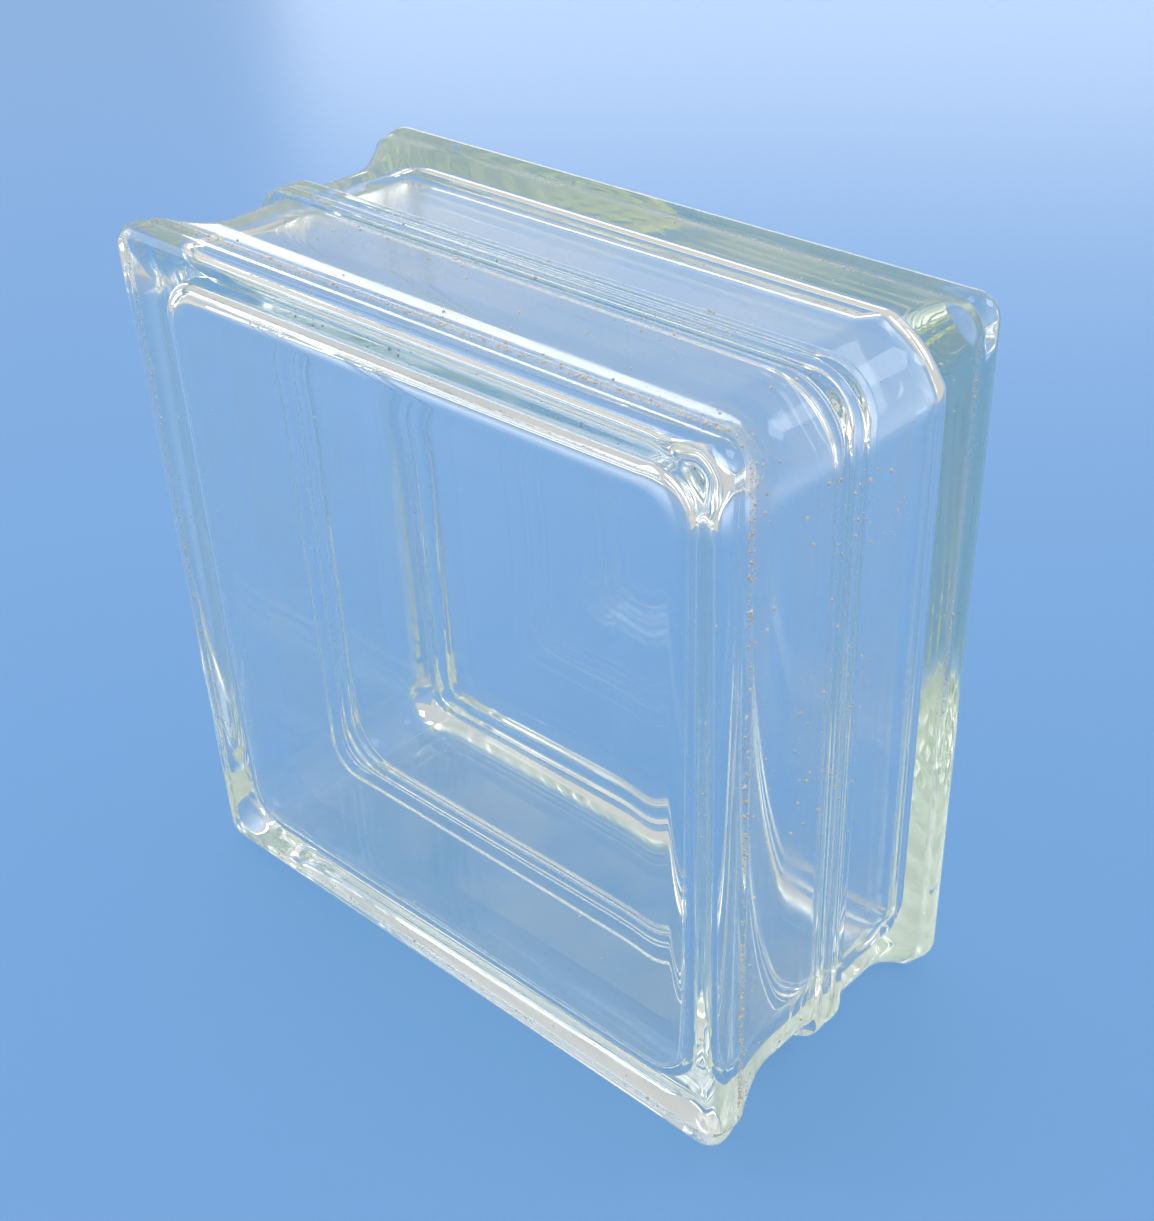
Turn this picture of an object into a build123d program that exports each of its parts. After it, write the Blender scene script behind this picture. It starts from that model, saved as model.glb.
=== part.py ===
"""Hollow glass block: two pressed dishes fused rim to rim into one sealed piece."""
import os

from build123d import *

# Overall size: width along X, thickness along Y, height along Z, standing on its lower flange lands.
BLOCK_WIDTH = 197.0
BLOCK_HEIGHT = 197.0
BLOCK_DEPTH = 98.0

# Flange round each face: a flat land outside, a rounded edge to the face, a concave flank behind.
LAND_DEPTH = 9.5
FACE_EDGE_RADIUS = 4.0
FLANGE_CORNER_RADIUS = 6.5
FLANK_DEPTH = 18.5

# Mortar channel between the flanges.
CHANNEL_DEPTH = 3.5
CHANNEL_CORNER_RADIUS = 15.0

# Fused joint at mid depth: each dish ends in a rolled lip, and the two lips meet in a shallow valley.
# The lip's corner is tighter than the channel's, so the lip stands taller there, as a blob of glass.
LIP_HEIGHT = 1.8
LIP_WIDTH = 5.0
LIP_CORNER_RADIUS = 12.5
LIP_ROUNDING = 1.5
VALLEY_DEPTH = 0.8

# Sealed hollow inside, with the ridge squeezed in at the joint.
FACE_THICKNESS = 8.0
WALL_THICKNESS = 7.5
HOLLOW_CORNER_RADIUS = 14.0
HOLLOW_FILLET = 5.0
INNER_RIDGE_HEIGHT = 1.2
INNER_RIDGE_WIDTH = 2.6

HALF_DEPTH = BLOCK_DEPTH / 2
LAND_BACK = HALF_DEPTH - LAND_DEPTH
HOLLOW_END = HALF_DEPTH - FACE_THICKNESS
HOLLOW_INSET = CHANNEL_DEPTH + WALL_THICKNESS


def section(depth: float, inset: float, corner: float) -> Sketch:
    """Rounded rectangle lying inset from the block's outline, across the thickness at a given depth."""
    plane = Plane(origin=(0, depth, BLOCK_HEIGHT / 2), x_dir=(1, 0, 0), z_dir=(0, 1, 0))
    outline = RectangleRounded(BLOCK_WIDTH - 2 * inset, BLOCK_HEIGHT - 2 * inset, corner)
    return plane * outline


def slab(start: float, end: float, inset: float, corner: float) -> Part:
    """Straight prism of one section between two depths."""
    return extrude(section(start, inset, corner), amount=end - start, dir=(0, 1, 0))


def edges_at(solid: Part, depth: float) -> ShapeList:
    """Edges of a solid that lie wholly at one depth."""
    return solid.edges().filter_by_position(Axis.Y, depth, depth)


def flange() -> Part:
    """Flange of one dish: rounded towards the face, square at the back of its land."""
    plate = slab(LAND_BACK, HALF_DEPTH, 0, FLANGE_CORNER_RADIUS)
    return fillet(edges_at(plate, HALF_DEPTH), FACE_EDGE_RADIUS)


def flank_section(share: float) -> Sketch:
    """Section on the flank, from the flange land at share 0 to the channel floor at 1, along a parabola."""
    fall = 1 - (1 - share) ** 2
    corner = FLANGE_CORNER_RADIUS + (CHANNEL_CORNER_RADIUS - FLANGE_CORNER_RADIUS) * fall
    return section(LAND_BACK - FLANK_DEPTH * share, CHANNEL_DEPTH * fall, corner)


def flank() -> Part:
    """Concave flank that runs from the flange land out into the floor of the mortar channel."""
    return loft([flank_section(share) for share in (1, 0.5, 0)])


def lip() -> Part:
    """Rolled lip of one dish: rounded towards the channel, bevelled towards the joint."""
    ring = slab(0, LIP_WIDTH, CHANNEL_DEPTH - LIP_HEIGHT, LIP_CORNER_RADIUS)
    rolled = fillet(edges_at(ring, LIP_WIDTH), LIP_ROUNDING)
    return chamfer(edges_at(rolled, 0), VALLEY_DEPTH)


def dish_outside() -> Part:
    """Outside form of one dish, solid, from the joint to its face."""
    floor = slab(0, LAND_BACK - FLANK_DEPTH, CHANNEL_DEPTH, CHANNEL_CORNER_RADIUS)
    return floor + lip() + flank() + flange()


def dish_hollow() -> Part:
    """Hollow of one dish: straight walls, a filleted floor and the narrower throat at the joint's ridge."""
    throat = slab(0, INNER_RIDGE_WIDTH, HOLLOW_INSET + INNER_RIDGE_HEIGHT, HOLLOW_CORNER_RADIUS)
    walls = slab(INNER_RIDGE_WIDTH, HOLLOW_END, HOLLOW_INSET, HOLLOW_CORNER_RADIUS)
    return throat + fillet(edges_at(walls, HOLLOW_END), HOLLOW_FILLET)


def glass_block() -> Part:
    """Whole block: the two dishes, mirrored about the joint and fused, with the sealed hollow."""
    outside = dish_outside()
    hollow = dish_hollow()
    outside += mirror(outside, about=Plane.XZ)
    hollow += mirror(hollow, about=Plane.XZ)
    return outside - hollow


os.makedirs("parts", exist_ok=True)
block = glass_block()
export_step(block, "parts/glass_block.step")
print("glass_block volume", round(block.volume), "valid", block.is_valid)
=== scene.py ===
"""Hollow glass block on its edge: pressed glass, old mortar specks, pale floor and soft studio light."""

import logging
import math
from dataclasses import dataclass, replace
from enum import Enum
from typing import Any, Iterable, Optional, Sequence

import bmesh
import bpy
from mathutils import Matrix, Vector

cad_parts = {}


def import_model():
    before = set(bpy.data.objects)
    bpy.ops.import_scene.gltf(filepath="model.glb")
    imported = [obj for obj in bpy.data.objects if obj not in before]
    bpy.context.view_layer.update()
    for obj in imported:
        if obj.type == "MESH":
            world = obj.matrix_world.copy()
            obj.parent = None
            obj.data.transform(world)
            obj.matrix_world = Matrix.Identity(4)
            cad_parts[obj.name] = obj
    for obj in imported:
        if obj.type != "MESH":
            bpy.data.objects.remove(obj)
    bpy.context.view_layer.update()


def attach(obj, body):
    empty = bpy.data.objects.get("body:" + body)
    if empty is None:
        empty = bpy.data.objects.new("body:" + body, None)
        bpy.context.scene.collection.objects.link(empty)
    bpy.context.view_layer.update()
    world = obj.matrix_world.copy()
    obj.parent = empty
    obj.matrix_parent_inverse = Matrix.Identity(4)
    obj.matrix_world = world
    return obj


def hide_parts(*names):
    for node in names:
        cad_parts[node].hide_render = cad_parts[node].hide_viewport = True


LOG = logging.getLogger("glass_block")

MM = 0.001
BODY = "root"
BLOCK_NODE = "glass_block"
MOTTLE_ROUGHNESS = 0.6
FULL_TURN = 6.28
MERGE_DISTANCE = 1e-6
LIGHT_BOUNCES = 80
DIFFUSE_BOUNCES = 2
CLIP_START = 0.01

Color = tuple[float, float, float, float]
Point = tuple[float, float]


class Wiring:
    """Lays nodes in one node tree and joins them."""

    def __init__(self, tree: bpy.types.NodeTree) -> None:
        """Takes the tree that the nodes go into."""
        self.tree = tree

    def node(
        self,
        kind: str,
        feeds: Optional[dict[Any, Any]] = None,
        **settings: Any,
    ) -> bpy.types.Node:
        """Adds one node.

        Args:
            kind: Blender's identifier of the node type.
            feeds: input name or index to a value or to the socket that feeds it.
            settings: properties of the node itself.

        Returns:
            The new node.
        """
        node = self.tree.nodes.new(kind)
        for key, value in settings.items():
            setattr(node, key, value)
        for key, value in (feeds or {}).items():
            self.feed(node, key, value)
        return node

    def feed(self, node: bpy.types.Node, key: Any, value: Any) -> None:
        """Sets or joins one input of a node.

        Args:
            node: the node to feed.
            key: the input's index, or its name or identifier.
            value: a plain value, or an output socket to join.
        """
        if isinstance(key, int):
            socket = node.inputs[key]
        else:
            socket = next(s for s in node.inputs if s.enabled and key in (s.name, s.identifier))
        if isinstance(value, bpy.types.NodeSocket):
            self.tree.links.new(value, socket)
        else:
            socket.default_value = value

    def math(self, operation: str, *terms: Any) -> bpy.types.NodeSocket:
        """Result of one math node on the given terms."""
        return self.node("ShaderNodeMath", dict(enumerate(terms)), operation=operation).outputs[0]

    def blend(self, start: Any, end: Any, share: Any) -> bpy.types.NodeSocket:
        """Straight blend of two values: start at share 0 and end at share 1."""
        return self.math("MULTIPLY_ADD", self.math("SUBTRACT", end, start), share, start)


class GeometryRecipe:
    """A Geometry Nodes tree with named inputs, run on a mesh to give another plain mesh."""

    def __init__(self, name: str, inputs: Sequence[tuple[str, str]]) -> None:
        """Makes the empty tree.

        Args:
            name: name of the tree.
            inputs: name and socket type of each input after the geometry.
        """
        self.tree = bpy.data.node_groups.new(name, "GeometryNodeTree")
        sockets = self.tree.interface
        sockets.new_socket(name="Geometry", in_out="INPUT", socket_type="NodeSocketGeometry")
        sockets.new_socket(name="Geometry", in_out="OUTPUT", socket_type="NodeSocketGeometry")
        self.identifiers: dict[str, str] = {}
        for label, kind in inputs:
            socket = sockets.new_socket(name=label, in_out="INPUT", socket_type=kind)
            self.identifiers[label] = socket.identifier
        self.wire = Wiring(self.tree)
        self.given = self.wire.node("NodeGroupInput")

    def value(self, label: str) -> bpy.types.NodeSocket:
        """Output socket of one named input."""
        return self.given.outputs[label]

    def close(self, geometry: bpy.types.NodeSocket) -> None:
        """Ends the tree with Realize Instances and Set Material.

        Args:
            geometry: the finished geometry.
        """
        real = self.wire.node("GeometryNodeRealizeInstances", {"Geometry": geometry})
        dressed = self.wire.node(
            "GeometryNodeSetMaterial",
            {"Geometry": real.outputs[0], "Material": self.value("Material")},
        )
        self.wire.node("NodeGroupOutput", {"Geometry": dressed.outputs[0]})

    def run(self, source: bpy.types.Mesh, values: dict[str, Any], name: str) -> bpy.types.Mesh:
        """Runs the tree on a mesh.

        Args:
            source: mesh that the tree starts from.
            values: value of each named input.
            name: name of the resulting mesh.

        Returns:
            The evaluated result as a plain mesh.
        """
        carrier = bpy.data.objects.new(name + "_carrier", source)
        bpy.context.scene.collection.objects.link(carrier)
        modifier = carrier.modifiers.new(self.tree.name, "NODES")
        modifier.node_group = self.tree
        for label, value in values.items():
            modifier[self.identifiers[label]] = value
        graph = bpy.context.evaluated_depsgraph_get()
        mesh = bpy.data.meshes.new_from_object(
            carrier.evaluated_get(graph), preserve_all_data_layers=True, depsgraph=graph
        )
        mesh.name = name
        carrier.modifiers.remove(modifier)
        bpy.data.objects.remove(carrier)
        return mesh


def mottle_group() -> bpy.types.NodeTree:
    """Shader group that gives a cloudy mask, made once and used by every finish that is uneven.

    Returns:
        Group with inputs Vector, Scale, Detail, Low and High, and output Mask.
    """
    name = "mottle"
    if name in bpy.data.node_groups:
        return bpy.data.node_groups[name]
    tree = bpy.data.node_groups.new(name, "ShaderNodeTree")
    tree.interface.new_socket(name="Vector", in_out="INPUT", socket_type="NodeSocketVector")
    for label, default in (("Scale", 50.0), ("Detail", 4.0), ("Low", 0.4), ("High", 0.7)):
        socket = tree.interface.new_socket(name=label, in_out="INPUT", socket_type="NodeSocketFloat")
        socket.default_value = default
    tree.interface.new_socket(name="Mask", in_out="OUTPUT", socket_type="NodeSocketFloat")
    wire = Wiring(tree)
    given = wire.node("NodeGroupInput").outputs
    noise = wire.node(
        "ShaderNodeTexNoise",
        {
            "Vector": given["Vector"],
            "Scale": given["Scale"],
            "Detail": given["Detail"],
            "Roughness": MOTTLE_ROUGHNESS,
        },
    )
    mask = wire.node(
        "ShaderNodeMapRange",
        {"Value": noise.outputs[0], "From Min": given["Low"], "From Max": given["High"]},
        interpolation_type="SMOOTHSTEP",
    )
    wire.node("NodeGroupOutput", {"Mask": mask.outputs[0]})
    return tree


def new_material(name: str) -> tuple[bpy.types.Material, Wiring, bpy.types.Node, bpy.types.Node]:
    """Makes an empty node material with a Principled shader.

    Args:
        name: name of the material.

    Returns:
        The material, its wiring, the Principled node and the output node.
    """
    material = bpy.data.materials.new(name)
    material.use_nodes = True
    material.node_tree.nodes.clear()
    wire = Wiring(material.node_tree)
    shader = wire.node("ShaderNodeBsdfPrincipled")
    output = wire.node("ShaderNodeOutputMaterial", {"Surface": shader.outputs[0]})
    return material, wire, shader, output


@dataclass(frozen=True)
class Mottle:
    """Cloudy pattern: patches per metre, octaves, and the noise values where its mask is 0 and 1."""

    scale: float
    detail: float
    low: float
    high: float

    def mask(self, wire: Wiring, vector: Any) -> bpy.types.NodeSocket:
        """Places the mottle group in a material.

        Args:
            wire: wiring of the material.
            vector: coordinates of the pattern.

        Returns:
            The mask socket.
        """
        feeds = {
            "Vector": vector,
            "Scale": self.scale,
            "Detail": self.detail,
            "Low": self.low,
            "High": self.high,
        }
        return wire.node("ShaderNodeGroup", feeds, node_tree=mottle_group()).outputs["Mask"]


@dataclass(frozen=True)
class PressedGlass:
    """Clear pressed glass: faint green in its depth, a little uneven, hazy where mortar was wiped off."""

    name: str = "pressed_glass"
    color: Color = (0.985, 0.995, 0.985, 1.0)
    clear_color: Color = (0.955, 0.97, 0.96, 1.0)
    ior: float = 1.52
    depth_color: Color = (0.72, 0.84, 0.62, 1.0)
    depth_density: float = 3.0
    haze_roughness: float = 0.32
    wave_scale: float = 34.0
    wave_strength: float = 0.05
    wave_height: float = 0.4 * MM
    wave_detail: float = 1.0
    wave_roughness: float = 0.4
    smear: Mottle = Mottle(42.0, 3.0, 0.30, 0.66)

    def material(self) -> bpy.types.Material:
        """Builds the material: glass to the eye, clear to shadow and diffuse rays so that light gets in.

        Returns:
            The material.
        """
        material, wire, shader, output = new_material(self.name)
        place = wire.node("ShaderNodeTexCoord").outputs["Object"]
        haze = wire.node("ShaderNodeAttribute", attribute_name="haze").outputs["Fac"]
        smear = self.smear.mask(wire, place)
        rough = wire.math("MULTIPLY", wire.math("MULTIPLY", haze, smear), self.haze_roughness)
        wave = wire.node(
            "ShaderNodeTexNoise",
            {
                "Vector": place,
                "Scale": self.wave_scale,
                "Detail": self.wave_detail,
                "Roughness": self.wave_roughness,
            },
        )
        bump = wire.node(
            "ShaderNodeBump",
            {"Strength": self.wave_strength, "Distance": self.wave_height, "Height": wave.outputs[0]},
        )
        wire.feed(shader, "Base Color", self.color)
        wire.feed(shader, "Roughness", rough)
        wire.feed(shader, "IOR", self.ior)
        wire.feed(shader, "Transmission Weight", 1.0)
        wire.feed(shader, "Normal", bump.outputs[0])
        depth = wire.node(
            "ShaderNodeVolumeAbsorption",
            {"Color": self.depth_color, "Density": self.depth_density},
        )
        wire.feed(output, "Volume", depth.outputs[0])
        surface = shader.outputs[0]
        rays = wire.node("ShaderNodeLightPath").outputs
        clear = wire.node("ShaderNodeBsdfTransparent", {"Color": self.clear_color})
        for kind in ("Is Shadow Ray", "Is Diffuse Ray"):
            choice = wire.node("ShaderNodeMixShader", {0: rays[kind], 1: surface, 2: clear.outputs[0]})
            surface = choice.outputs[0]
        wire.feed(output, "Surface", surface)
        return material


@dataclass(frozen=True)
class OldMortar:
    """Dry, sandy mortar left in specks along the edges."""

    name: str = "old_mortar"
    pale: Color = (0.90, 0.87, 0.80, 1.0)
    dark: Color = (0.70, 0.64, 0.54, 1.0)
    roughness: float = 0.9
    grain: Mottle = Mottle(900.0, 5.0, 0.35, 0.68)
    grain_height: float = 0.15 * MM

    def material(self) -> bpy.types.Material:
        """Builds the material.

        Returns:
            The material.
        """
        material, wire, shader, _ = new_material(self.name)
        place = wire.node("ShaderNodeTexCoord").outputs["Object"]
        grain = self.grain.mask(wire, place)
        tone = wire.node(
            "ShaderNodeMix",
            {"Factor": grain, "A_Color": self.dark, "B_Color": self.pale},
            data_type="RGBA",
        )
        bump = wire.node("ShaderNodeBump", {"Distance": self.grain_height, "Height": grain})
        wire.feed(shader, "Base Color", next(s for s in tone.outputs if s.enabled))
        wire.feed(shader, "Roughness", self.roughness)
        wire.feed(shader, "Normal", bump.outputs[0])
        return material


@dataclass(frozen=True)
class MortarFilm:
    """Whitish film left where mortar was wiped off, with tan smears where it is thicker."""

    name: str = "mortar_film"
    white: Color = (0.80, 0.77, 0.70, 1.0)
    tan: Color = (0.60, 0.51, 0.39, 1.0)
    roughness: float = 0.95
    veil: float = 0.34
    crust: float = 0.75
    cloud: Mottle = Mottle(24.0, 3.0, 0.30, 0.68)
    smear: Mottle = Mottle(130.0, 4.0, 0.50, 0.62)
    area: Mottle = Mottle(40.8, 2.0, 0.44, 0.62)

    def material(self) -> bpy.types.Material:
        """Builds the material, whose alpha is how much of the glass the film covers.

        Returns:
            The material.
        """
        material, wire, shader, _ = new_material(self.name)
        place = wire.node("ShaderNodeTexCoord").outputs["Object"]
        haze = wire.node("ShaderNodeAttribute", attribute_name="haze").outputs["Fac"]
        residue = wire.node("ShaderNodeAttribute", attribute_name="residue").outputs["Fac"]
        cloud = self.cloud.mask(wire, place)
        smear = self.smear.mask(wire, place)
        area = self.area.mask(wire, place)
        veil = wire.math("MULTIPLY", wire.math("MULTIPLY", haze, cloud), self.veil)
        patch = wire.math("MULTIPLY", wire.math("MULTIPLY", smear, area), residue)
        cover = wire.math("MAXIMUM", veil, wire.math("MULTIPLY", patch, self.crust))
        tone = wire.node(
            "ShaderNodeMix", {"Factor": patch, "A_Color": self.white, "B_Color": self.tan}, data_type="RGBA"
        )
        wire.feed(shader, "Base Color", next(o for o in tone.outputs if o.enabled))
        wire.feed(shader, "Roughness", self.roughness)
        wire.feed(shader, "Alpha", cover)
        return material


@dataclass(frozen=True)
class PaleFloor:
    """Plain pale blue lacquered board."""

    name: str = "pale_floor"
    color: Color = (0.17, 0.385, 0.77, 1.0)
    roughness: float = 0.32
    gloss: float = 0.3

    def material(self) -> bpy.types.Material:
        """Builds the material.

        Returns:
            The material.
        """
        material, wire, shader, _ = new_material(self.name)
        wire.feed(shader, "Base Color", self.color)
        wire.feed(shader, "Roughness", self.roughness)
        wire.feed(shader, "Specular IOR Level", self.gloss)
        return material


@dataclass(frozen=True)
class Station:
    """One point of the block's section, carried round its outline.

    Inset is measured in from the block's outline, depth out from the joint towards a face. Ripple is the
    greatest dent of the surface there, haze and residue how dirty it is, from 0 to 1.
    """

    inset: float
    depth: float
    corner: float
    ripple: float = 0.0
    haze: float = 0.0
    residue: float = 0.0


class Sheet(Enum):
    """The sheets swept round the outline: the two skins of the glass and the dirt on the outer one."""

    OUTSIDE = "outside"
    INSIDE = "inside"
    DIRT = "dirt"


def bow(start: Point, control: Point, end: Point, steps: int) -> list[Point]:
    """Quadratic curve between two points.

    Args:
        start: first point.
        control: point that the curve bends towards.
        end: last point.
        steps: number of segments.

    Returns:
        The points, ends included.
    """
    points = []
    for step in range(steps + 1):
        t = step / steps
        points.append(
            tuple(
                (1 - t) ** 2 * a + 2 * t * (1 - t) * b + t**2 * c
                for a, b, c in zip(start, control, end)
            )
        )
    return points


def quarter(center: Point, radius: float, start: float, end: float, steps: int) -> list[Point]:
    """Arc in the plane of inset and depth.

    Args:
        center: inset and depth of the centre.
        radius: radius of the arc.
        start: first angle in degrees, 0 towards greater inset and 90 towards greater depth.
        end: last angle in degrees.
        steps: number of segments.

    Returns:
        The points, ends included.
    """
    points = []
    for step in range(steps + 1):
        angle = math.radians(start + (end - start) * step / steps)
        points.append((center[0] + radius * math.cos(angle), center[1] + radius * math.sin(angle)))
    return points


@dataclass
class GlassBody:
    """The whole block: two pressed dishes fused at mid depth, with a sealed hollow."""

    # Overall size and flange.
    width: float = 197.0 * MM
    height: float = 197.0 * MM
    half_depth: float = 49.0 * MM
    land_back: float = 39.5 * MM
    land_crown: float = 0.6 * MM
    edge_radius: float = 4.0 * MM
    edge_steps: int = 9
    flange_corner: float = 6.5 * MM
    back_edge: float = 1.4 * MM
    back_steps: int = 5
    support: float = 0.35 * MM

    # Concave flank and mortar channel.
    flank_end: float = 21.0 * MM
    flank_steps: int = 18
    channel_depth: float = 3.5 * MM
    channel_corner: float = 15.0 * MM

    # Rolled lip, and the valley between the two lips.
    lip_height: float = 1.8 * MM
    lip_corner: float = 12.5 * MM
    lip_width: float = 5.0 * MM
    lip_rounding: float = 1.5 * MM
    lip_foot: float = 0.6 * MM
    foot_steps: int = 4
    roll_steps: int = 7
    dip_steps: int = 6
    valley_height: float = 1.0 * MM
    valley_width: float = 0.8 * MM
    valley_bend: float = 0.12 * MM
    valley_share: float = 0.7
    valley_steps: int = 3

    # Hollow: its floor with a slight swell along the rim, its fillet and its drafted walls.
    face_thickness: float = 8.0 * MM
    wall_at_joint: float = 7.2 * MM
    wall_draft: float = 0.6 * MM
    hollow_corner: float = 14.0 * MM
    hollow_fillet: float = 5.5 * MM
    hollow_fillet_depth: float = 7.0 * MM
    fillet_steps: int = 14
    rim_swell: float = 0.1 * MM
    rim_place: float = 3.0 * MM
    rim_reach: float = 4.0 * MM
    rim_turn: float = 3.0 * MM
    rim_fade: float = 3.0
    rim_steps: int = 20

    # Ridge squeezed in at the joint.
    ridge_height: float = 1.2 * MM
    ridge_width: float = 2.6 * MM
    ridge_foot: float = 1.2 * MM
    ridge_shoulder: float = 0.7
    ridge_top: float = 0.4
    ridge_corner: float = 15.0 * MM
    ridge_steps: tuple[int, int, int] = (3, 4, 5)
    notch_width: float = 0.5 * MM
    notch_depth: float = 0.6 * MM

    # Unevenness of the pressed skin.
    ripple: float = 0.12 * MM
    flank_ripple: float = 0.05 * MM
    lip_ripple: float = 0.03 * MM
    inner_ripple: float = 0.08 * MM
    ripple_scale: float = 38.0
    ripple_detail: float = 1.0
    seed: int = 7

    # Dullness of the glass and leftover mortar, from 0 to 1.
    face_haze: float = 0.05
    land_haze: float = 0.05
    back_haze: float = 1.0
    back_residue: float = 1.0
    flank_haze: float = 0.5
    flank_clearing: float = 0.3
    flank_residue: float = 0.05
    channel_haze: float = 0.5
    channel_residue: float = 0.02
    lip_haze: float = 0.35
    lip_residue: float = 0.08
    wall_haze: float = 0.1
    ridge_haze: float = 0.2
    dirt_lift: float = 0.03 * MM
    dirt_start: int = 2

    # Spacing of the rings across flat stretches and round the outline.
    face_shares: tuple[float, ...] = (0.2, 0.4, 0.6, 0.8, 0.95, 1.0)
    land_shares: tuple[float, ...] = (0.0, 0.25, 0.5, 0.75, 1.0)
    channel_shares: tuple[float, ...] = (0.03, 0.1, 0.25, 0.45, 0.65, 0.85, 0.97)
    wall_shares: tuple[float, ...] = (0.02, 0.1, 0.25, 0.45, 0.65, 0.85, 0.98)
    corner_steps: int = 18
    side_steps: int = 24
    side_easing: float = 0.9

    def outside_section(self) -> list[Station]:
        """Outer skin of one dish.

        Returns:
            The stations, from the middle of the face to the joint.
        """
        face_edge = self.edge_radius + self.support
        stations = self.face_stations(self.half_depth, face_edge, self.flange_corner - face_edge)
        center = (self.edge_radius, self.half_depth - self.edge_radius)
        for inset, depth in quarter(center, self.edge_radius, 90.0, 180.0, self.edge_steps):
            stations.append(Station(inset, depth, self.flange_corner - inset))
        land_start = self.half_depth - self.edge_radius - self.support
        land_end = self.land_back + self.back_edge + self.support
        for share in self.land_shares:
            depth = land_start + (land_end - land_start) * share
            drop = self.land_crown * share**2
            stations.append(Station(drop, depth, self.flange_corner - drop, haze=self.land_haze * share))
        stations += self.flank_stations()
        stations += self.channel_stations()
        stations += self.lip_stations()
        return stations

    def face_stations(self, depth: float, edge_inset: float, corner: float) -> list[Station]:
        """Rings of a flat face from its middle outwards.

        Args:
            depth: depth of the face.
            edge_inset: inset of the last ring.
            corner: corner radius of the last ring.

        Returns:
            The stations; the first is the middle point.
        """
        half = self.width / 2
        stations = [Station(half, depth, 0.0, haze=self.face_haze)]
        for share in self.face_shares:
            reach = (half - edge_inset) * share
            stations.append(Station(half - reach, depth, corner * share, haze=self.face_haze))
        return stations

    def flank_point(self, share: float) -> tuple[float, float, float]:
        """Point on the concave flank.

        Args:
            share: how far down the flank, from 0 at the land to 1 at the channel floor.

        Returns:
            Inset, depth and corner radius there.
        """
        fall = 1 - (1 - share) ** 2
        depth = self.land_back + (self.flank_end - self.land_back) * share
        corner = self.flange_corner + (self.channel_corner - self.flange_corner) * fall
        return self.channel_depth * fall, depth, corner

    def flank_stations(self) -> list[Station]:
        """Softened back edge of the land, where most mortar is left, and the concave flank.

        Returns:
            The stations, from the land to the channel floor.
        """
        start_share = self.back_edge / (self.land_back - self.flank_end)
        inset, depth, corner = self.flank_point(start_share)
        edge = bow(
            (self.land_crown, self.land_back + self.back_edge),
            (self.land_crown, self.land_back),
            (inset, depth),
            self.back_steps,
        )
        stations = []
        for step, (at, back) in enumerate(edge):
            share = step / self.back_steps
            turn = self.flange_corner + (corner - self.flange_corner) * share
            residue = self.back_residue * (1 - abs(2 * share - 1))
            stations.append(Station(at, back, turn, haze=self.back_haze, residue=residue))
        for step in range(1, self.flank_steps + 1):
            share = start_share + (1 - start_share) * step / self.flank_steps
            inset, depth, corner = self.flank_point(share)
            haze = self.flank_haze - self.flank_clearing * share
            residue = self.flank_residue * (1 - share) ** 2
            stations.append(Station(inset, depth, corner, self.flank_ripple * share, haze, residue))
        return stations

    def channel_stations(self) -> list[Station]:
        """Flat floor of the mortar channel.

        Returns:
            The stations, from the end of the flank to the foot of the lip.
        """
        foot = self.lip_width + self.lip_foot
        flat = Station(
            self.channel_depth,
            self.flank_end,
            self.channel_corner,
            self.ripple,
            self.channel_haze,
            self.channel_residue,
        )
        reach = foot - self.flank_end
        return [replace(flat, depth=self.flank_end + reach * share) for share in self.channel_shares]

    def lip_stations(self) -> list[Station]:
        """Rolled lip and the valley where it meets the lip of the other dish.

        Returns:
            The stations, from the foot of the lip to the joint.
        """
        floor = self.channel_depth
        rounding = self.lip_rounding
        heart = floor - self.lip_height + rounding
        points = bow(
            (floor, self.lip_width + self.lip_foot),
            (floor, self.lip_width),
            (heart, self.lip_width),
            self.foot_steps,
        )
        points += quarter((heart, self.lip_width - rounding), rounding, 90.0, 180.0, self.roll_steps)[1:]
        near = self.valley_width / 2 + rounding
        valley = floor - self.valley_height
        dip = math.degrees(math.acos((heart - valley) / rounding))
        points += quarter((heart, near), rounding, 180.0, 180.0 + dip, self.dip_steps)
        last = points[-1]
        bend = (last[0] + self.valley_bend, last[1] * self.valley_share)
        points += bow(last, bend, (valley, 0.0), self.valley_steps)[1:]
        stations = []
        for inset, depth in points:
            corner = self.lip_corner_at(inset)
            stations.append(Station(inset, depth, corner, self.lip_ripple, self.lip_haze, self.lip_residue))
        return stations

    def lip_corner_at(self, inset: float) -> float:
        """Corner radius of the lip: it stands taller at the corners than along the sides."""
        share = (self.channel_depth - inset) / self.lip_height
        return self.channel_corner + (self.lip_corner - self.channel_corner) * min(1.0, share)

    def rim(self, reach: float) -> float:
        """How far the inner face swells towards the hollow, at a distance from its fillet."""
        spread = self.rim_reach if reach > self.rim_place else self.rim_turn
        return self.rim_swell * math.exp(-0.5 * ((reach - self.rim_place) / spread) ** 2)

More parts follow.
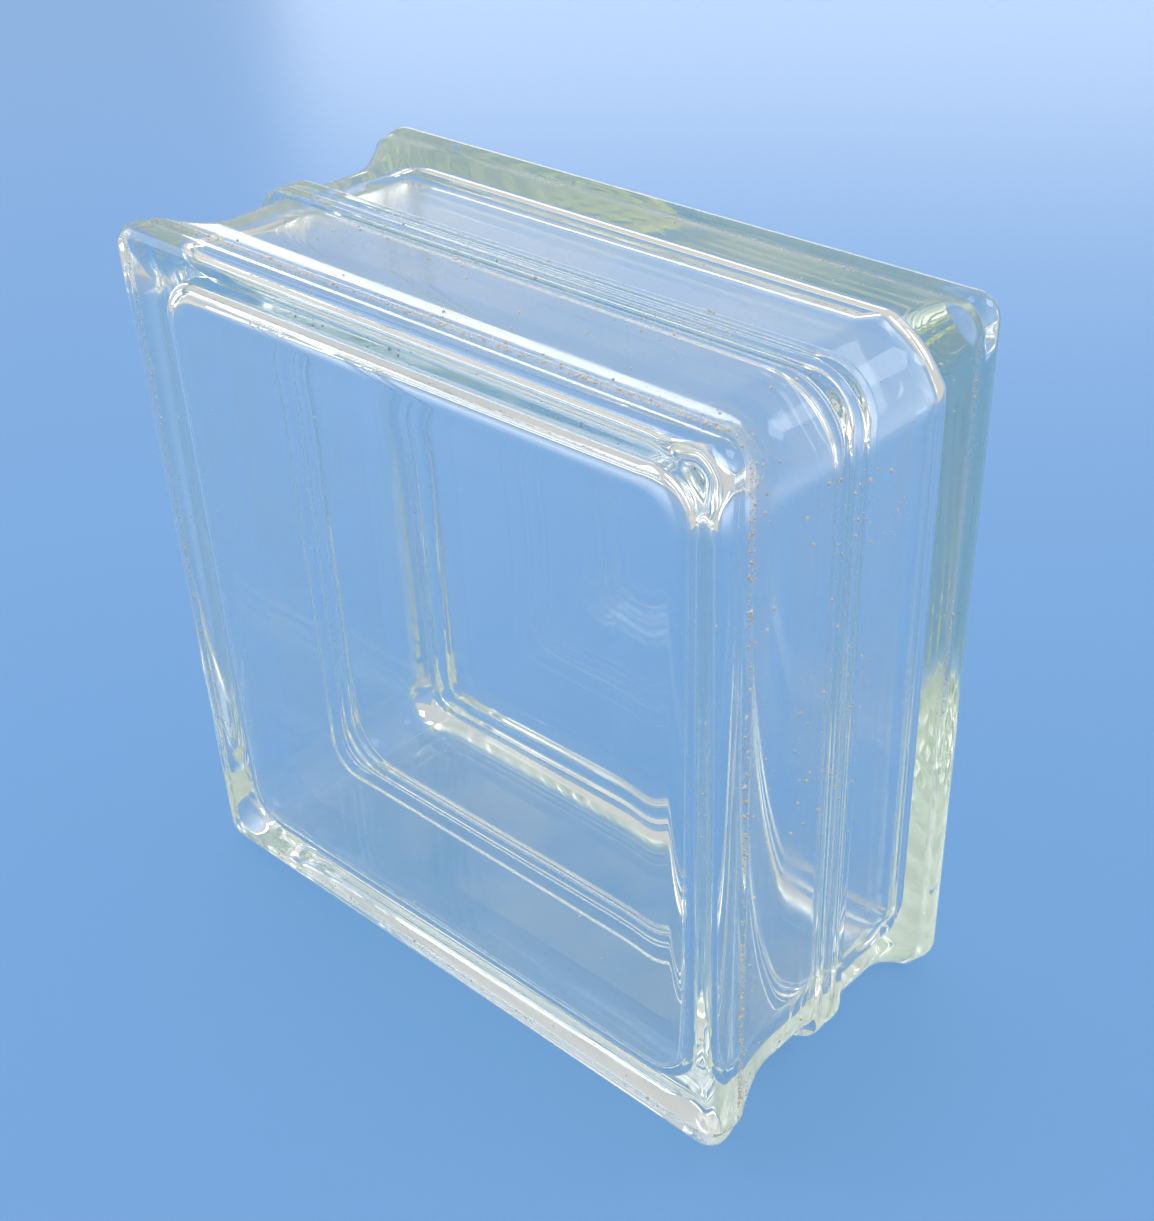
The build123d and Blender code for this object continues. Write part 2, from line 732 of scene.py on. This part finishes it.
    def inside_section(self) -> list[Station]:
        """Inner skin of one dish.

        Returns:
            The stations, from the middle of the hollow's floor to the joint.
        """
        end = self.half_depth - self.face_thickness
        inset = self.channel_depth + self.wall_at_joint
        floor_edge = inset + self.wall_draft + self.hollow_fillet
        floor_corner = self.hollow_corner - self.hollow_fillet
        rim_start = self.rim_place + self.rim_fade * self.rim_reach
        stations = self.face_stations(end, floor_edge + rim_start, floor_corner)
        for step in range(1, self.rim_steps + 1):
            reach = rim_start * (1 - step / self.rim_steps)
            stations.append(Station(floor_edge + reach, end - self.rim(reach), floor_corner))
        edge_depth = end - self.rim(0.0)
        for step in range(1, self.fillet_steps + 1):
            share = step / self.fillet_steps
            angle = math.pi / 2 * share
            fall = self.hollow_fillet * math.sin(angle)
            depth = edge_depth - self.hollow_fillet_depth * (1 - math.cos(angle))
            dent = self.inner_ripple * share
            stations.append(Station(floor_edge - fall, depth, floor_corner + fall, dent))
        wall_start = edge_depth - self.hollow_fillet_depth
        slope = self.wall_draft / wall_start
        foot = self.ridge_width + self.ridge_foot
        for share in self.wall_shares:
            depth = wall_start + (foot - wall_start) * share
            corner = self.hollow_corner + self.wall_draft * (1 - depth / end)
            at = inset + slope * depth
            stations.append(Station(at, depth, corner, self.inner_ripple, self.wall_haze))
        for at, depth in self.ridge_points(inset + slope * foot, inset + self.ridge_height):
            stations.append(Station(at, depth, self.ridge_corner, self.inner_ripple, self.ridge_haze))
        return stations

    def ridge_points(self, base: float, crest: float) -> list[Point]:
        """Section of the ridge at the joint.

        Args:
            base: inset of the wall at the ridge's foot.
            crest: inset of the ridge's top.

        Returns:
            The points, from the foot to the joint.
        """
        width = self.ridge_width
        rise, top, dip = self.ridge_steps
        points = bow((base, width + self.ridge_foot), (base, width), ((base + crest) / 2, width), rise)
        points += bow(points[-1], (crest, width), (crest, width * self.ridge_shoulder), top)[1:]
        notch = (crest - self.notch_depth, 0.0)
        points += bow((crest, width * self.ridge_top), (crest, self.notch_width), notch, dip)
        return points

    def dirt_section(self) -> list[Station]:
        """Stations just off the outer skin, from the back edge of the land to the joint."""
        skin = self.flank_stations()[self.dirt_start :] + self.channel_stations() + self.lip_stations()
        return [replace(station, inset=station.inset - self.dirt_lift) for station in skin]

    def section_mesh(self, sheet: Sheet) -> bpy.types.Mesh:
        """Point mesh that carries one sheet's section as attributes, near face to far face.

        Args:
            sheet: the sheet.

        Returns:
            Mesh with one vertex for each station.
        """
        sections = {
            Sheet.OUTSIDE: self.outside_section,
            Sheet.INSIDE: self.inside_section,
            Sheet.DIRT: self.dirt_section,
        }
        half = sections[sheet]()
        ring = [(station, -1.0) for station in half]
        ring += [(station, 1.0) for station in reversed(half[:-1])]
        mesh = bpy.data.meshes.new("section_" + sheet.value)
        mesh.from_pydata([(0.0, 0.0, 0.0)] * len(ring), [], [])
        columns = {
            "inset": [s.inset for s, _ in ring],
            "depth": [s.depth * side for s, side in ring],
            "corner": [s.corner for s, _ in ring],
            "ripple": [s.ripple for s, _ in ring],
            "haze": [s.haze for s, _ in ring],
            "residue": [s.residue for s, _ in ring],
        }
        for label, values in columns.items():
            mesh.attributes.new(label, "FLOAT", "POINT").data.foreach_set("value", values)
        return mesh

    def sweep_recipe(self) -> GeometryRecipe:
        """Tree that carries a section round the block's rounded square outline.

        Returns:
            The recipe, ready to run on a section mesh.
        """
        recipe = GeometryRecipe(
            "sweep_round_outline",
            [
                ("Width", "NodeSocketFloat"),
                ("Height", "NodeSocketFloat"),
                ("Corner Steps", "NodeSocketInt"),
                ("Side Steps", "NodeSocketInt"),
                ("Side Easing", "NodeSocketFloat"),
                ("Ripple Scale", "NodeSocketFloat"),
                ("Seed", "NodeSocketInt"),
                ("Inside Out", "NodeSocketBool"),
                ("Material", "NodeSocketMaterial"),
            ],
        )
        wire = recipe.wire
        section = recipe.given.outputs["Geometry"]
        rows = wire.node("GeometryNodeAttributeDomainSize", {"Geometry": section}).outputs["Point Count"]
        stride = wire.math("ADD", recipe.value("Corner Steps"), recipe.value("Side Steps"))
        around = wire.math("MULTIPLY", stride, 4.0)
        across = wire.math("SUBTRACT", rows, 1.0)
        sheet = wire.node(
            "GeometryNodeMeshGrid",
            {
                "Size X": around,
                "Size Y": across,
                "Vertices X": wire.math("ADD", around, 1.0),
                "Vertices Y": rows,
            },
        )
        spot = wire.node("ShaderNodeSeparateXYZ", {0: wire.node("GeometryNodeInputPosition").outputs[0]})
        column = wire.math("ROUND", wire.math("MULTIPLY_ADD", around, 0.5, spot.outputs[0]))
        row = wire.math("ROUND", wire.math("MULTIPLY_ADD", across, 0.5, spot.outputs[1]))

        def sampled(label: str) -> bpy.types.NodeSocket:
            """Value of one section attribute at this vertex's row."""
            named = wire.node("GeometryNodeInputNamedAttribute", {"Name": label}, data_type="FLOAT")
            sample = wire.node(
                "GeometryNodeSampleIndex",
                {"Geometry": section, "Value": named.outputs["Attribute"], "Index": row},
                data_type="FLOAT",
                domain="POINT",
            )
            return sample.outputs[0]

        corner_index = wire.math("FLOOR", wire.math("DIVIDE", wire.math("ADD", column, 0.01), stride))
        local = wire.math("SUBTRACT", column, wire.math("MULTIPLY", corner_index, stride))
        turn = wire.math("MINIMUM", wire.math("DIVIDE", local, recipe.value("Corner Steps")), 1.0)
        past = wire.math("MAXIMUM", wire.math("SUBTRACT", local, recipe.value("Corner Steps")), 0.0)
        run = wire.math("DIVIDE", past, recipe.value("Side Steps"))
        eased = wire.math(
            "SUBTRACT",
            run,
            wire.math(
                "MULTIPLY",
                wire.math("SINE", wire.math("MULTIPLY", run, 2 * math.pi)),
                wire.math("DIVIDE", recipe.value("Side Easing"), 2 * math.pi),
            ),
        )
        angle = wire.math("MULTIPLY", wire.math("ADD", corner_index, turn), math.pi / 2)
        this_corner = wire.math("MULTIPLY_ADD", corner_index, math.pi / 2, math.pi / 4)
        next_corner = wire.math("ADD", this_corner, math.pi / 2)

        def reach(trig: str, size: str) -> bpy.types.NodeSocket:
            """Coordinate of the outline along one direction, measured from the middle of the block."""
            sign = wire.blend(wire.math(trig, this_corner), wire.math(trig, next_corner), eased)
            half = wire.math("MULTIPLY", recipe.value(size), 0.5)
            inner = wire.math("SUBTRACT", wire.math("SUBTRACT", half, sampled("inset")), sampled("corner"))
            straight = wire.math("MULTIPLY", wire.math("MULTIPLY", sign, math.sqrt(2)), inner)
            return wire.math("MULTIPLY_ADD", sampled("corner"), wire.math(trig, angle), straight)

        up = wire.math("MULTIPLY_ADD", recipe.value("Height"), 0.5, reach("SINE", "Height"))
        place = wire.node(
            "ShaderNodeCombineXYZ",
            {0: reach("COSINE", "Width"), 1: sampled("depth"), 2: up},
        )
        body = sheet.outputs["Mesh"]
        for label, value in (
            ("dent", sampled("ripple")),
            ("haze", sampled("haze")),
            ("residue", sampled("residue")),
        ):
            body = wire.node(
                "GeometryNodeStoreNamedAttribute",
                {"Geometry": body, "Name": label, "Value": value},
                data_type="FLOAT",
                domain="POINT",
            ).outputs[0]
        body = wire.node(
            "GeometryNodeSetPosition", {"Geometry": body, "Position": place.outputs[0]}
        ).outputs[0]
        body = wire.node(
            "GeometryNodeMergeByDistance", {"Geometry": body, "Distance": MERGE_DISTANCE}
        ).outputs[0]
        body = wire.node(
            "GeometryNodeFlipFaces", {"Mesh": body, "Selection": recipe.value("Inside Out")}
        ).outputs[0]
        noise = wire.node(
            "ShaderNodeTexNoise",
            {
                "Vector": wire.node("GeometryNodeInputPosition").outputs[0],
                "W": recipe.value("Seed"),
                "Scale": recipe.value("Ripple Scale"),
                "Detail": self.ripple_detail,
            },
            noise_dimensions="4D",
        )

        def kept(label: str) -> bpy.types.NodeSocket:
            """Attribute stored on the swept skin."""
            return wire.node(
                "GeometryNodeInputNamedAttribute", {"Name": label}, data_type="FLOAT"
            ).outputs["Attribute"]

        dent = wire.math("MULTIPLY", wire.math("SUBTRACT", noise.outputs[0], 0.5), kept("dent"))
        normal = wire.node("GeometryNodeInputNormal").outputs[0]
        shift = wire.node("ShaderNodeVectorMath", {0: normal, "Scale": dent}, operation="SCALE")
        body = wire.node(
            "GeometryNodeSetPosition", {"Geometry": body, "Offset": shift.outputs[0]}
        ).outputs[0]
        body = wire.node("GeometryNodeSetShadeSmooth", {0: body}).outputs[0]
        recipe.close(body)
        return recipe

    def swept(self, recipe: GeometryRecipe, sheet: Sheet, finish: bpy.types.Material) -> bpy.types.Mesh:
        """One swept sheet.

        Args:
            recipe: the sweep tree.
            sheet: which sheet.
            finish: the material it carries.

        Returns:
            The sheet as a plain mesh, its faces turned away from the glass.
        """
        values = {
            "Width": self.width,
            "Height": self.height,
            "Corner Steps": self.corner_steps,
            "Side Steps": self.side_steps,
            "Side Easing": self.side_easing,
            "Ripple Scale": self.ripple_scale,
            "Seed": self.seed,
            "Inside Out": sheet is not Sheet.INSIDE,
            "Material": finish,
        }
        return recipe.run(self.section_mesh(sheet), values, "sheet_" + sheet.value)

    def build(self, recipe: GeometryRecipe, glass: bpy.types.Material) -> bpy.types.Object:
        """Builds and dresses the block.

        Args:
            recipe: the sweep tree.
            glass: the finished glass material.

        Returns:
            The glass body, riding on the CAD body and standing for its node.
        """
        joined = bmesh.new()
        for sheet in (Sheet.OUTSIDE, Sheet.INSIDE):
            joined.from_mesh(self.swept(recipe, sheet, glass))
        mesh = bpy.data.meshes.new("glass_body")
        joined.to_mesh(mesh)
        joined.free()
        body = ride("glass_body", mesh, glass)
        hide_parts(BLOCK_NODE)
        return body


def ride(name: str, mesh: bpy.types.Mesh, finish: bpy.types.Material) -> bpy.types.Object:
    """Makes a piece of a mesh and lets it ride on the block.

    Args:
        name: name of the piece.
        mesh: its mesh.
        finish: its only material.

    Returns:
        The piece.
    """
    mesh.materials.clear()
    mesh.materials.append(finish)
    piece = bpy.data.objects.new(name, mesh)
    bpy.context.scene.collection.objects.link(piece)
    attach(piece, BODY)
    LOG.info("%s: %d faces", name, len(mesh.polygons))
    return piece


@dataclass
class MortarDirt:
    """What is left of the old mortar: a wiped film with smears, and crumbs along the lands' back edges."""

    crumbs: float = 2200000.0
    smallest: float = 0.12 * MM
    largest: float = 0.6 * MM
    size_power: float = 3.0
    clump_scale: float = 45.0
    clump_detail: float = 3.0
    clump_low: float = 0.5
    clump_high: float = 0.72
    bias: tuple[float, float, float] = (3.0, -16.0, 4.0)
    bias_share: float = 0.2
    lump_scale: float = 1.3
    lump_detail: float = 2.0
    lump_gain: float = 1.6
    lump_start: float = -0.8
    clearance: float = 0.03 * MM
    seed: int = 11

    def crumb_recipe(self) -> GeometryRecipe:
        """Tree that scatters crumbs over a sheet of dirt, where its residue attribute is high.

        Returns:
            The recipe, ready to run on the sheet.
        """
        recipe = GeometryRecipe(
            "mortar_crumbs",
            [
                ("Crumbs", "NodeSocketFloat"),
                ("Smallest", "NodeSocketFloat"),
                ("Largest", "NodeSocketFloat"),
                ("Clump Scale", "NodeSocketFloat"),
                ("Bias", "NodeSocketVector"),
                ("Lowest", "NodeSocketVector"),
                ("Highest", "NodeSocketVector"),
                ("Seed", "NodeSocketInt"),
                ("Material", "NodeSocketMaterial"),
            ],
        )
        wire = recipe.wire
        spot = wire.node("GeometryNodeInputPosition").outputs[0]
        middle = wire.node(
            "ShaderNodeVectorMath", {0: recipe.value("Lowest"), 1: recipe.value("Highest")}, operation="ADD"
        )
        center = wire.node("ShaderNodeVectorMath", {0: middle.outputs[0], "Scale": 0.5}, operation="SCALE")
        offset = wire.node("ShaderNodeVectorMath", {0: spot, 1: center.outputs[0]}, operation="SUBTRACT")
        lean = wire.node(
            "ShaderNodeVectorMath", {0: offset.outputs[0], 1: recipe.value("Bias")}, operation="DOT_PRODUCT"
        )
        clump = wire.node(
            "ShaderNodeTexNoise",
            {
                "Vector": spot,
                "W": recipe.value("Seed"),
                "Scale": recipe.value("Clump Scale"),
                "Detail": self.clump_detail,
            },
            noise_dimensions="4D",
        )
        level = wire.math("MULTIPLY_ADD", lean.outputs["Value"], self.bias_share, clump.outputs[0])
        share = wire.node(
            "ShaderNodeMapRange",
            {"Value": level, "From Min": self.clump_low, "From Max": self.clump_high},
            interpolation_type="SMOOTHSTEP",
        )
        residue = wire.node("GeometryNodeInputNamedAttribute", {"Name": "residue"}, data_type="FLOAT")
        density = wire.math(
            "MULTIPLY",
            wire.math("MULTIPLY", residue.outputs["Attribute"], share.outputs[0]),
            recipe.value("Crumbs"),
        )
        points = wire.node(
            "GeometryNodeDistributePointsOnFaces",
            {"Mesh": recipe.given.outputs["Geometry"], "Density": density, "Seed": recipe.value("Seed")},
            distribute_method="RANDOM",
        )
        ball = wire.node("GeometryNodeMeshIcoSphere", {"Radius": 1.0, "Subdivisions": 1})
        lump = wire.node(
            "ShaderNodeTexNoise", {"Vector": spot, "Scale": self.lump_scale, "Detail": self.lump_detail}
        )
        knock = wire.node(
            "ShaderNodeVectorMath",
            {
                0: wire.node("GeometryNodeInputNormal").outputs[0],
                "Scale": wire.math("MULTIPLY_ADD", lump.outputs[0], self.lump_gain, self.lump_start),
            },
            operation="SCALE",
        )
        crumb = wire.node(
            "GeometryNodeSetPosition", {"Geometry": ball.outputs["Mesh"], "Offset": knock.outputs[0]}
        )
        turn = wire.node(
            "FunctionNodeRandomValue",
            {"Max": (FULL_TURN, FULL_TURN, FULL_TURN), "Seed": recipe.value("Seed")},
            data_type="FLOAT_VECTOR",
        )
        draw = wire.node(
            "FunctionNodeRandomValue",
            {"Seed": wire.math("ADD", recipe.value("Seed"), 1)},
            data_type="FLOAT",
        )
        drawn = next(o for o in draw.outputs if o.enabled)
        weight = wire.math("POWER", drawn, self.size_power)
        size = wire.blend(recipe.value("Smallest"), recipe.value("Largest"), weight)
        scattered = wire.node(
            "GeometryNodeInstanceOnPoints",
            {
                "Points": points.outputs["Points"],
                "Instance": crumb.outputs[0],
                "Rotation": next(o for o in turn.outputs if o.enabled),
                "Scale": size,
            },
        )
        real = wire.node("GeometryNodeRealizeInstances", {"Geometry": scattered.outputs[0]})
        below = wire.node(
            "ShaderNodeVectorMath", {0: spot, 1: recipe.value("Highest")}, operation="MINIMUM"
        )
        held = wire.node(
            "ShaderNodeVectorMath", {0: below.outputs[0], 1: recipe.value("Lowest")}, operation="MAXIMUM"
        )
        trimmed = wire.node(
            "GeometryNodeSetPosition", {"Geometry": real.outputs[0], "Position": held.outputs[0]}
        )
        recipe.close(trimmed.outputs[0])
        return recipe

    def build(self, body: GlassBody, sweep: GeometryRecipe) -> list[bpy.types.Object]:
        """Builds the film and the crumbs.

        Args:
            body: the glass that the dirt lies on.
            sweep: the sweep tree of the glass.

        Returns:
            Both pieces, riding on the CAD body.
        """
        film_finish = MortarFilm().material()
        crumb_finish = OldMortar().material()
        sheet = body.swept(sweep, Sheet.DIRT, film_finish)
        half_width = body.width / 2 - self.clearance
        values = {
            "Crumbs": self.crumbs,
            "Smallest": self.smallest,
            "Largest": self.largest,
            "Clump Scale": self.clump_scale,
            "Bias": self.bias,
            "Lowest": (-half_width, -body.half_depth, self.clearance),
            "Highest": (half_width, body.half_depth, body.height - self.clearance),
            "Seed": self.seed,
            "Material": crumb_finish,
        }
        crumbs = self.crumb_recipe().run(sheet, values, "mortar_crumbs")
        return [ride("mortar_film", sheet, film_finish), ride("mortar_crumbs", crumbs, crumb_finish)]


@dataclass
class Floor:
    """Plain pale floor that the block stands on."""

    span: float = 9.0
    drop: float = 0.4 * MM

    def build(self, finish: PaleFloor) -> bpy.types.Object:
        """Builds the floor.

        Args:
            finish: its finish.

        Returns:
            The floor.
        """
        half = self.span / 2
        outline = ((-half, -half), (half, -half), (half, half), (-half, half))
        corners = [(x, y, -self.drop) for x, y in outline]
        mesh = bpy.data.meshes.new("floor")
        mesh.from_pydata(corners, [], [(0, 1, 2, 3)])
        mesh.materials.append(finish.material())
        floor = bpy.data.objects.new("floor", mesh)
        bpy.context.scene.collection.objects.link(floor)
        return floor


@dataclass(frozen=True)
class Softbox:
    """One rectangular soft light."""

    name: str
    place: tuple[float, float, float]
    size: tuple[float, float]
    power: float
    target: tuple[float, float, float] = (0.0, 0.0, 0.1)

    def build(self) -> bpy.types.Object:
        """Builds the light, turned to its target.

        Returns:
            The light.
        """
        lamp = bpy.data.lights.new(self.name, "AREA")
        lamp.shape = "RECTANGLE"
        lamp.size, lamp.size_y = self.size
        lamp.energy = self.power
        light = bpy.data.objects.new(self.name, lamp)
        light.location = self.place
        aim = Vector(self.target) - Vector(self.place)
        light.rotation_euler = aim.to_track_quat("-Z", "Y").to_euler()
        bpy.context.scene.collection.objects.link(light)
        return light


@dataclass
class Studio:
    """Soft studio light: a warm white room and a few softboxes."""

    room_color: Color = (0.88, 0.86, 0.82, 1.0)
    room_strength: float = 0.8
    boxes: tuple[Softbox, ...] = (
        Softbox("overhead", (-0.5, 0.3, 2.2), (1.6, 1.2), 12.0),
        Softbox("window", (-2.0, -1.0, 1.4), (1.2, 1.6), 9.0),
        Softbox("back_strip", (1.0, 2.0, 1.5), (0.9, 0.9), 6.0),
        Softbox("low_back", (-1.4, 1.95, 0.45), (1.6, 0.35), 4.5),
    )

    def build(self) -> None:
        """Sets the world and places the softboxes."""
        scene = bpy.context.scene
        world = bpy.data.worlds.new("studio")
        world.use_nodes = True
        world.node_tree.nodes.clear()
        wire = Wiring(world.node_tree)
        room = wire.node("ShaderNodeBackground", {"Color": self.room_color, "Strength": self.room_strength})
        wire.node("ShaderNodeOutputWorld", {"Surface": room.outputs[0]})
        scene.world = world
        for box in self.boxes:
            box.build()


@dataclass
class PhotoCamera:
    """Camera that sees the block from the photograph's place."""

    azimuth: float = 44.823
    elevation: float = 36.085
    roll: float = -2.785
    distance: float = 468.96 * MM
    aside: Point = (-8.153 * MM, 27.344 * MM)
    target_height: float = 98.5 * MM
    focal: float = 1770.5
    principal: Point = (579.7, 714.5)
    frame: Point = (1154.0, 1221.0)
    sensor: float = 36.0

    def build(self) -> bpy.types.Object:
        """Builds the camera and makes it the scene's.

        Returns:
            The camera.
        """
        az, el, roll = (math.radians(a) for a in (self.azimuth, self.elevation, self.roll))
        ahead = Vector((-math.sin(az) * math.cos(el), math.cos(az) * math.cos(el), -math.sin(el)))
        level = Vector((ahead.y, -ahead.x, 0.0)).normalized()
        upright = level.cross(ahead)
        right = math.cos(roll) * level + math.sin(roll) * upright
        up = -math.sin(roll) * level + math.cos(roll) * upright
        target = Vector((0.0, 0.0, self.target_height))
        place = target - ahead * self.distance - right * self.aside[0] - up * self.aside[1]
        data = bpy.data.cameras.new("photo_camera")
        long_side = max(self.frame)
        data.sensor_width = self.sensor
        data.lens = self.focal * self.sensor / long_side
        data.shift_x = (self.frame[0] / 2 - self.principal[0]) / long_side
        data.shift_y = (self.principal[1] - self.frame[1] / 2) / long_side
        data.clip_start = CLIP_START
        camera = bpy.data.objects.new("photo_camera", data)
        turn = Matrix((right, up, -ahead)).transposed()
        camera.matrix_world = Matrix.Translation(place) @ turn.to_4x4()
        bpy.context.scene.collection.objects.link(camera)
        bpy.context.scene.camera = camera
        return camera


def set_light_paths() -> None:
    """Lets light pass many times between the walls of the glass, because the far flange guides it along."""
    cycles = bpy.context.scene.cycles
    cycles.max_bounces = LIGHT_BOUNCES
    cycles.transmission_bounces = LIGHT_BOUNCES
    cycles.glossy_bounces = LIGHT_BOUNCES
    cycles.transparent_max_bounces = LIGHT_BOUNCES // 2
    cycles.diffuse_bounces = DIFFUSE_BOUNCES
    cycles.use_light_tree = False


def main() -> None:
    """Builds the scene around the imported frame."""
    logging.basicConfig(level=logging.INFO, format="%(name)s: %(message)s")
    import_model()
    scene = bpy.context.scene
    scene.view_settings.view_transform = "Standard"
    set_light_paths()
    PhotoCamera().build()
    Studio().build()
    Floor().build(PaleFloor())
    block = GlassBody()
    sweep = block.sweep_recipe()
    block.build(sweep, PressedGlass().material())
    MortarDirt().build(block, sweep)


if __name__ == "__main__":
    main()
